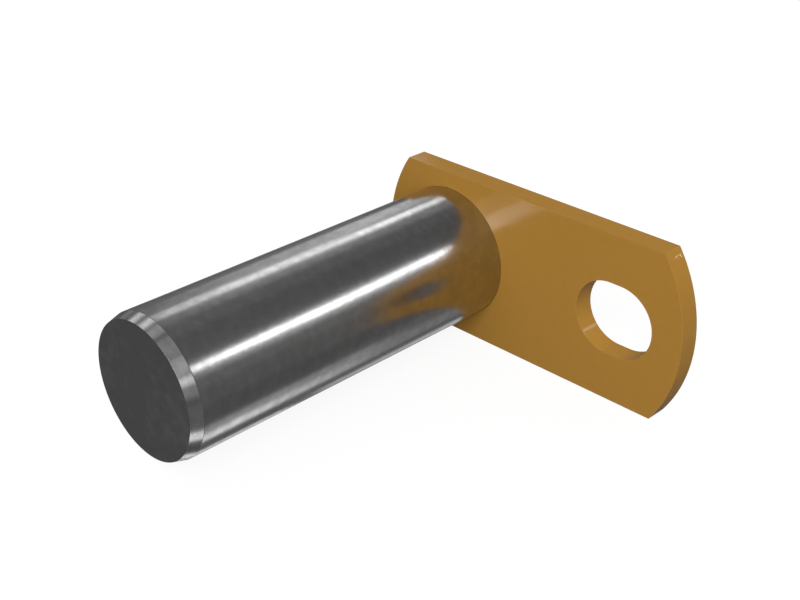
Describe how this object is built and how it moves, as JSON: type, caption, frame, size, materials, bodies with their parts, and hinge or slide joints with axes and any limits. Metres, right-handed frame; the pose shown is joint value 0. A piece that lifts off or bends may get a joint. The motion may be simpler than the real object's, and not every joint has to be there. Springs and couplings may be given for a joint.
{
  "type": "linkage pin",
  "caption": "Ground steel linkage pin with a lead-in taper, welded through a flat painted flag plate whose slot takes a retaining bolt.",
  "frame": {"origin": "on the pin's axis, at the flag's inner face", "axes": "-Y along the pin towards its free end, +X along the flag towards its slot, +Z across the flag"},
  "size_m": [0.107, 0.1215, 0.05],
  "materials": {
    "ground_steel": "ground bright, light oil film",
    "flag_paint": "satin ochre paint",
    "weld_paint": "satin ochre paint over weld metal"
  },
  "bodies": {
    "root": {"pin": "ground_steel", "flag_plate": "flag_paint", "weld_bead": "weld_paint"}
  },
  "joints": []
}
